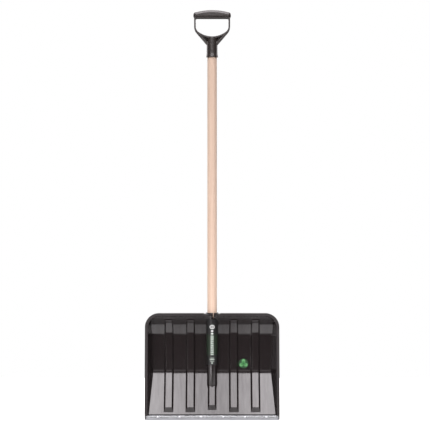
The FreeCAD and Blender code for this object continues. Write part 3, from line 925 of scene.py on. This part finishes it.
@dataclass
class ScrapingEdge:
    """The metal strip folded over the pan's lip, and the rivets that hold it."""

    lean: float = math.radians(12.0)
    half_lip: float = 1.5 * MM
    gauge: float = 1.5 * MM
    fold: float = 3.5 * MM
    height: float = 19.0 * MM
    half_width: float = 221.2 * MM
    round_over: float = 0.7 * MM
    round_steps: int = 5
    weld: float = 0.001 * MM
    rivets: int = 6
    rivet_pitch: float = 72.7 * MM
    rivet_rise: float = 12.0 * MM
    rivet_radius: float = 2.5 * MM
    head_radius: float = 3.4 * MM
    head_height: float = 0.55 * MM
    rivet_sides: int = 24
    head_rings: int = 12
    rivet_rough: float = 0.26

    def build(self) -> None:
        """Make the strip and its rivets."""
        self.strip()
        self.rivet_row()

    def at(self, along: float, out: float) -> tuple[float, float]:
        """A point beside the leaning lip.

        Args:
            along: How far up the lip it is.
            out: How far in front of the lip's middle it is.

        Returns:
            Its Y and Z.
        """
        return (along * math.sin(self.lean) - out * math.cos(self.lean),
                along * math.cos(self.lean) + out * math.sin(self.lean))

    def strip(self) -> None:
        """Round the corners of the folded outline, fill it and draw it out along the edge."""
        outer = self.half_lip + self.gauge
        foot = outer * math.tan(self.lean)
        top = self.height / math.cos(self.lean) - foot
        corners = [(-foot, outer), (top, outer), (top, self.half_lip),
                   (self.fold, self.half_lip), (self.fold, -self.half_lip),
                   (top, -self.half_lip), (top, -outer), (foot, -outer)]
        outline = [self.at(*corner) + (0.0,) for corner in corners]
        tree = Builder("folded_strip")
        half = tree.size("Half width", self.half_width)
        turn = tree.size("Corner radius", self.round_over)
        curve = tree.step("MeshToCurve", Mesh=tree.base)
        rounded = tree.step("FilletCurve", {"mode": "POLY"}, Curve=curve,
                            Count=self.round_steps, Radius=turn, Limit_Radius=True)
        face = tree.step("FillCurve", {"mode": "NGONS"}, Curve=rounded)
        drawn = tree.step("ExtrudeMesh", {"mode": "FACES"}, Mesh=face,
                          Offset=(0.0, 0.0, 1.0), Offset_Scale=half * 2.0, Individual=False)
        closed = tree.joined(drawn, tree.step("FlipFaces", Mesh=face))
        whole = tree.step("MergeByDistance", Geometry=closed, Distance=self.weld)
        centred = tree.step("Transform", Geometry=whole, Translation=tree.vector(z=half * -1.0))
        turned = tree.step("Transform", Geometry=centred, Rotation=(QUARTER, 0.0, QUARTER))
        tree.end(turned, RolledAluminium("strip_metal").make())
        tree.grow("scraping_strip", line_mesh("strip_outline", outline), "edge_strip")

    def rivet_row(self) -> None:
        """Set one domed rivet through the lip at each place of an even row."""
        y, z = self.at(self.rivet_rise, 0.0)
        tree = Builder("rivet_row")
        rivets = tree.count("Rivets", self.rivets)
        pitch = tree.size("Pitch", self.rivet_pitch)
        shank_radius = tree.size("Shank radius", self.rivet_radius)
        head_radius = tree.size("Head radius", self.head_radius)
        head_height = tree.size("Head height", self.head_height)
        length = 2 * (self.half_lip + self.gauge)
        shank = tree.step("MeshCylinder", Vertices=self.rivet_sides, Radius=shank_radius,
                          Depth=length)
        ball = tree.step("MeshUVSphere", Segments=self.rivet_sides, Rings=self.head_rings,
                         Radius=1.0)
        size = tree.vector(head_radius, head_radius, head_height)
        heads = [tree.step("Transform", Geometry=ball, Scale=size,
                           Translation=(0.0, 0.0, side * length / 2)) for side in (-1, 1)]
        rivet = tree.joined(shank, *heads)
        start = tree.vector(pitch * (rivets - 1) * -0.5, y, z)
        row = tree.step("MeshLine", {"mode": "OFFSET"}, Count=rivets, Start_Location=start,
                        Offset=tree.vector(pitch))
        placed = tree.step("InstanceOnPoints", Points=row, Instance=rivet,
                           Rotation=(QUARTER - self.lean, 0.0, 0.0))
        tree.end(placed, RolledAluminium("rivet_metal", rough=self.rivet_rough).make())
        tree.grow("edge_rivet_row", bpy.data.meshes.new("rivet_start"), "edge_rivets")


@dataclass
class WoodenShaft:
    """The turned shaft: a tapered foot in the pan's socket and a thinner tenon in the grip."""

    axis_y: float = 49.0 * MM
    radius: float = 16.0 * MM
    foot_z: float = 110.0 * MM
    foot_radius: float = 11.03 * MM
    mouth_z: float = 356.0 * MM
    shoulder_z: float = 1216.0 * MM
    tenon_radius: float = 14.0 * MM
    top_z: float = 1274.0 * MM
    edge: float = 0.8 * MM
    shoulder_step: float = 0.02 * MM
    sides: int = 128

    def build(self) -> None:
        """Sweep a circle up the axis, as wide at each height as the turned outline."""
        stations = [(self.foot_z, self.foot_radius - self.edge),
                    (self.foot_z + self.edge, self.foot_radius),
                    (self.mouth_z, self.radius),
                    (self.shoulder_z - self.edge, self.radius),
                    (self.shoulder_z, self.radius - self.edge),
                    (self.shoulder_z + self.shoulder_step, self.tenon_radius),
                    (self.top_z - self.edge, self.tenon_radius),
                    (self.top_z, self.tenon_radius - self.edge)]
        points = [(0.0, self.axis_y, z) for z, _ in stations]
        start = line_mesh("shaft_axis", points, closed=False)
        turned_radius = start.attributes.new("turned_radius", "FLOAT", "POINT")
        turned_radius.data.foreach_set("value", [radius for _, radius in stations])
        tree = Builder("turned_shaft")
        sides = tree.count("Sides", self.sides)
        swell = tree.size("Swell", 1.0)
        axis = tree.step("MeshToCurve", Mesh=tree.base)
        width = Value(tree, tree.step("InputNamedAttribute", {"data_type": "FLOAT"},
                                      Name="turned_radius"))
        ring = tree.step("CurvePrimitiveCircle", {"mode": "RADIUS"}, Resolution=sides, Radius=1.0)
        turned = tree.step("CurveToMesh", Curve=axis, Profile_Curve=ring, Scale=width * swell,
                           Fill_Caps=True)
        tree.end(turned, TurnedWood("shaft_wood").make())
        tree.grow("wooden_shaft", start, "shaft")


def bake(piece: bpy.types.Object) -> None:
    """Turn a piece's modifiers into its own plain mesh."""
    graph = bpy.context.evaluated_depsgraph_get()
    baked = bpy.data.meshes.new_from_object(piece.evaluated_get(graph))
    piece.modifiers.clear()
    piece.data = baked


def settle(piece: bpy.types.Object, node: str) -> None:
    """Put a finished piece in the frame, in place of a kept one.

    Args:
        piece: The piece, with its place in its mesh.
        node: The kept piece that it stands for.
    """
    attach(piece, "root")
    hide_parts(node)
    log.info("%s: %d faces", piece.name, len(piece.data.polygons))


def main() -> None:
    """Build the studio and every sub-assembly, in order."""
    logging.basicConfig(level=logging.INFO, format="%(name)s: %(message)s")
    Studio().build()
    pan_plastic = MouldedPlastic("pan_plastic", skin=0.35, skin_streak=0.35)
    Moulding("blade", "pan_moulding").build(pan_plastic)
    grip_plastic = MouldedPlastic("grip_plastic", colour=(0.022, 0.0165, 0.014, 1.0), gloss=0.37,
                                  dull=0.43, skin=1.0, skin_near=-1 * MM, skin_far=0.0)
    Moulding("d_grip", "grip_moulding", radius=0.8 * MM).build(grip_plastic)
    ScrapingEdge().build()
    WoodenShaft().build()
    dress("socket_screw", ZincSteel("screw_steel"))
    dress("grip_screw", ZincSteel("screw_steel"))
    dress("socket_label", SocketFilm("label_film"))
    low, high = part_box("round_sticker")
    centre = ((low[0] + high[0]) / 2, (low[2] + high[2]) / 2)
    dress("round_sticker", LeafPrint("sticker_film", centre, (high[0] - low[0]) / 2))


if __name__ == "__main__":
    main()
